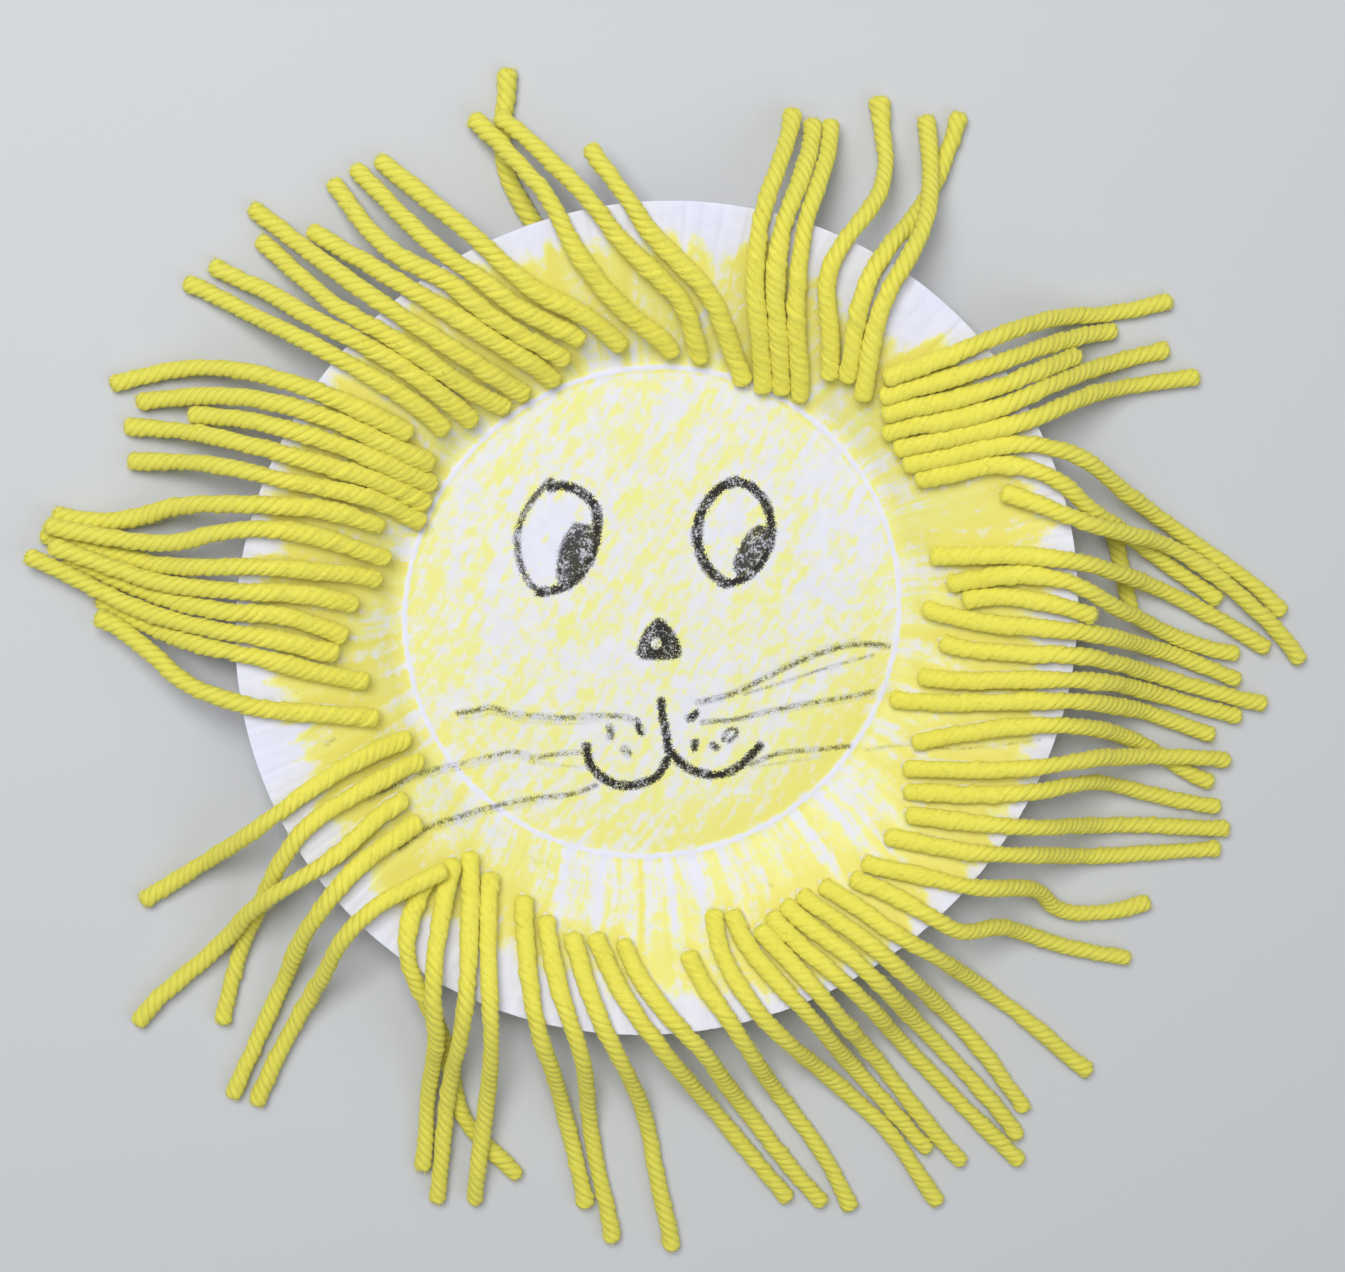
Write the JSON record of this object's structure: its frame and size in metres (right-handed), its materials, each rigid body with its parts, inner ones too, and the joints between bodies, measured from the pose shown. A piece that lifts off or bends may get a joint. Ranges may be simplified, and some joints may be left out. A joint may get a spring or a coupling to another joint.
{
  "type": "paper plate lion craft",
  "caption": "Pressed paper plate with a drawn lion face, crayon colouring and a radial mane of short yarn lengths glued around the wall.",
  "frame": {"origin": "centre of the plate's underside, on the table it rests on", "axes": "+Z out of the drawn face, away from the table; +Y towards the top of the lion's head; +X towards the viewer's right when the face is looked at"},
  "size_m": [0.2377, 0.2233, 0.0182],
  "materials": {
    "plate_board": "matte uncoated pressed board, white, coloured with yellow crayon",
    "dried_glue": "dried white craft glue",
    "yellow_yarn": "soft four-ply yarn"
  },
  "bodies": {
    "root": {"paper_plate": "plate_board", "glue_film": "dried_glue", "yarn_s1": "yellow_yarn", "yarn_s2": "yellow_yarn", "yarn_s3": "yellow_yarn", "yarn_s4": "yellow_yarn", "yarn_s5": "yellow_yarn", "yarn_k4": "yellow_yarn", "yarn_k5": "yellow_yarn", "yarn_j1": "yellow_yarn", "yarn_j2": "yellow_yarn", "yarn_j3": "yellow_yarn", "yarn_j4": "yellow_yarn", "yarn_j8": "yellow_yarn", "yarn_i1": "yellow_yarn", "yarn_i2": "yellow_yarn", "yarn_h1": "yellow_yarn", "yarn_h2": "yellow_yarn", "yarn_h3": "yellow_yarn", "yarn_h4": "yellow_yarn", "yarn_g3": "yellow_yarn", "yarn_g2": "yellow_yarn", "yarn_g1": "yellow_yarn", "yarn_f9": "yellow_yarn", "yarn_f8": "yellow_yarn", "yarn_f7": "yellow_yarn", "yarn_f6": "yellow_yarn", "yarn_f5": "yellow_yarn", "yarn_f1": "yellow_yarn", "yarn_e7": "yellow_yarn", "yarn_e6": "yellow_yarn", "yarn_e5": "yellow_yarn", "yarn_e4": "yellow_yarn", "yarn_e1": "yellow_yarn", "yarn_d2": "yellow_yarn", "yarn_d0": "yellow_yarn", "yarn_c2": "yellow_yarn", "yarn_c1": "yellow_yarn", "yarn_b5": "yellow_yarn", "yarn_b4": "yellow_yarn", "yarn_b3": "yellow_yarn", "yarn_a4": "yellow_yarn", "yarn_tuft_01": "yellow_yarn", "yarn_tuft_02": "yellow_yarn", "yarn_tuft_03": "yellow_yarn", "yarn_tuft_04": "yellow_yarn", "yarn_tuft_05": "yellow_yarn", "yarn_tuft_06": "yellow_yarn", "yarn_tuft_07": "yellow_yarn", "yarn_tuft_08": "yellow_yarn", "yarn_tuft_09": "yellow_yarn", "yarn_tuft_10": "yellow_yarn", "yarn_tuft_11": "yellow_yarn", "yarn_tuft_12": "yellow_yarn"}
  },
  "joints": []
}
